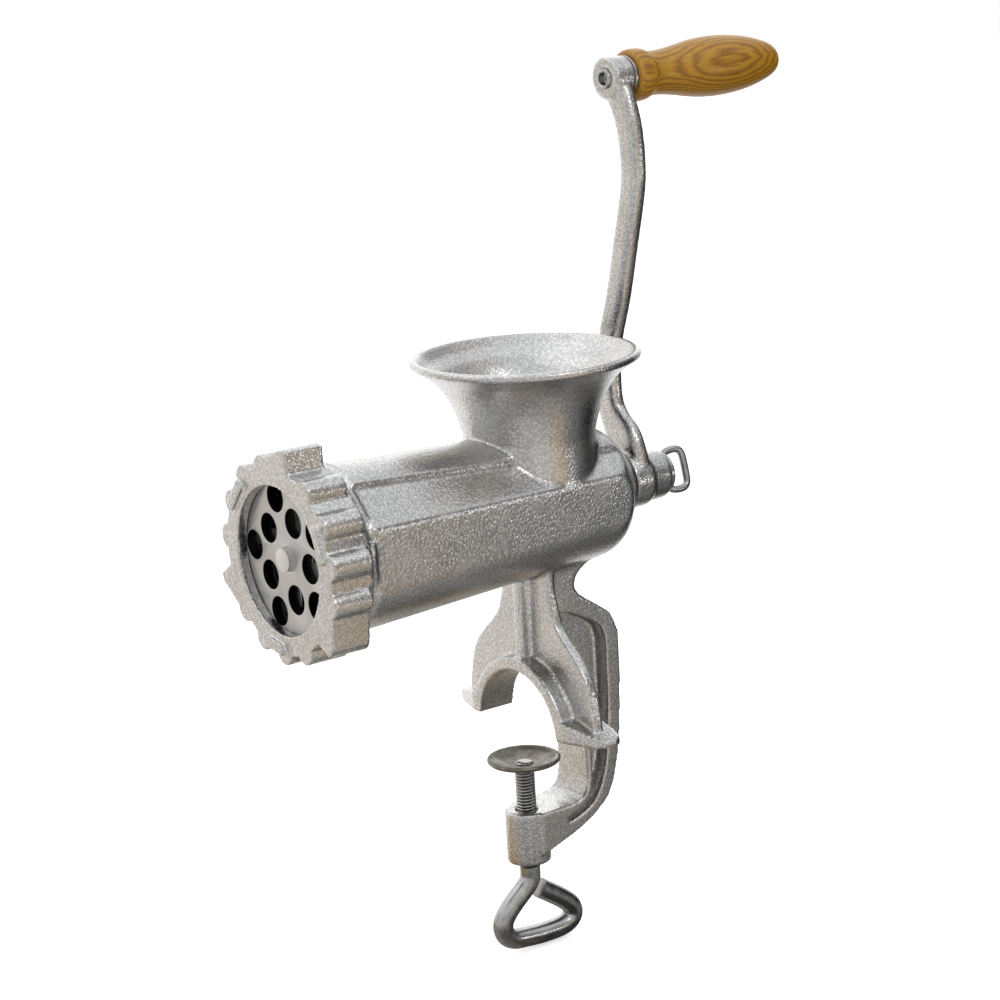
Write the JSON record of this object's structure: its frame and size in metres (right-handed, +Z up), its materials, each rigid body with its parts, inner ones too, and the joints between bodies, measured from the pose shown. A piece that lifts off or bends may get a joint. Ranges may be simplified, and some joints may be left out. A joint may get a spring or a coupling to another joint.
{
  "type": "manual meat grinder",
  "caption": "Hand cranked meat grinder in tinned cast iron with a flared hopper, a ring nut over a holed plate, a table clamp and a turned wooden grip.",
  "frame": {"origin": "on the clamp screw's axis, in the plane where the two feet stand on the table top", "axes": "+Z up along the clamp screw, +Y along the barrel from the cutting plate to the crank, +X to the right as seen from the plate end"},
  "size_m": [0.109, 0.2856, 0.4028],
  "materials": {
    "tinned_iron": "grainy tinned casting, satin",
    "ground_steel": "ground",
    "zinc_steel": "tinned, satin",
    "bare_steel": "rolled, dull",
    "nylon": "matte",
    "oak": "lacquered"
  },
  "bodies": {
    "casting": {"body_casting": "tinned_iron", "rear_bushing": "nylon", "plate_key": "zinc_steel"},
    "drive": {"feed_screw": "tinned_iron", "knife_stud": "ground_steel", "thrust_washer": "nylon", "knife": "ground_steel", "crank_arm": "tinned_iron", "grip_spindle": "zinc_steel", "grip_washer": "zinc_steel"},
    "handle": {"grip": "oak"},
    "plate": {"cutting_plate": "ground_steel"},
    "nut": {"ring_nut": "tinned_iron"},
    "thumb_washer": {"crank_screw_washer": "zinc_steel"},
    "thumb_screw": {"crank_screw": "zinc_steel"},
    "pad": {"clamp_pad": "bare_steel"},
    "clamp": {"clamp_screw": "zinc_steel"}
  },
  "joints": [
    {"name": "crank_turn", "type": "hinge", "parent": "casting", "child": "drive", "pos_m": [0, 0, 0.101], "axis": [0, -1, 0], "continuous": true},
    {"name": "grip_turn", "type": "hinge", "parent": "drive", "child": "handle", "pos_m": [0, 0.1, 0.2825], "axis": [0, -1, 0], "continuous": true},
    {"name": "plate_slide", "type": "slide", "parent": "casting", "child": "plate", "axis": [0, -1, 0], "range_m": [0, 0.014]},
    {"name": "ring_nut_turn", "type": "hinge", "parent": "plate", "child": "nut", "pos_m": [0, -0.11, 0.101], "axis": [0, -1, 0], "range_deg": [0, 2520]},
    {"name": "thumb_washer_slide", "type": "slide", "parent": "drive", "child": "thumb_washer", "axis": [0, 1, 0], "range_m": [0, 0.0175]},
    {"name": "thumb_screw_turn", "type": "hinge", "parent": "thumb_washer", "child": "thumb_screw", "pos_m": [0, 0.09, 0.101], "axis": [0, 1, 0], "range_deg": [0, 5040]},
    {"name": "clamp_pad_slide", "type": "slide", "parent": "casting", "child": "pad", "axis": [0, 0, 1], "range_m": [-0.019, 0.005]},
    {"name": "clamp_screw_turn", "type": "hinge", "parent": "pad", "child": "clamp", "pos_m": [0, 0, -0.05], "axis": [0, 0, 1], "range_deg": [-4560, 1200]}
  ],
  "couplings": [
    {"joint": "plate_slide", "follows": "ring_nut_turn", "m_per_rad": 0.00031831},
    {"joint": "thumb_washer_slide", "follows": "thumb_screw_turn", "m_per_rad": 0.00019894},
    {"joint": "clamp_pad_slide", "follows": "clamp_screw_turn", "m_per_rad": 0.00023873}
  ]
}
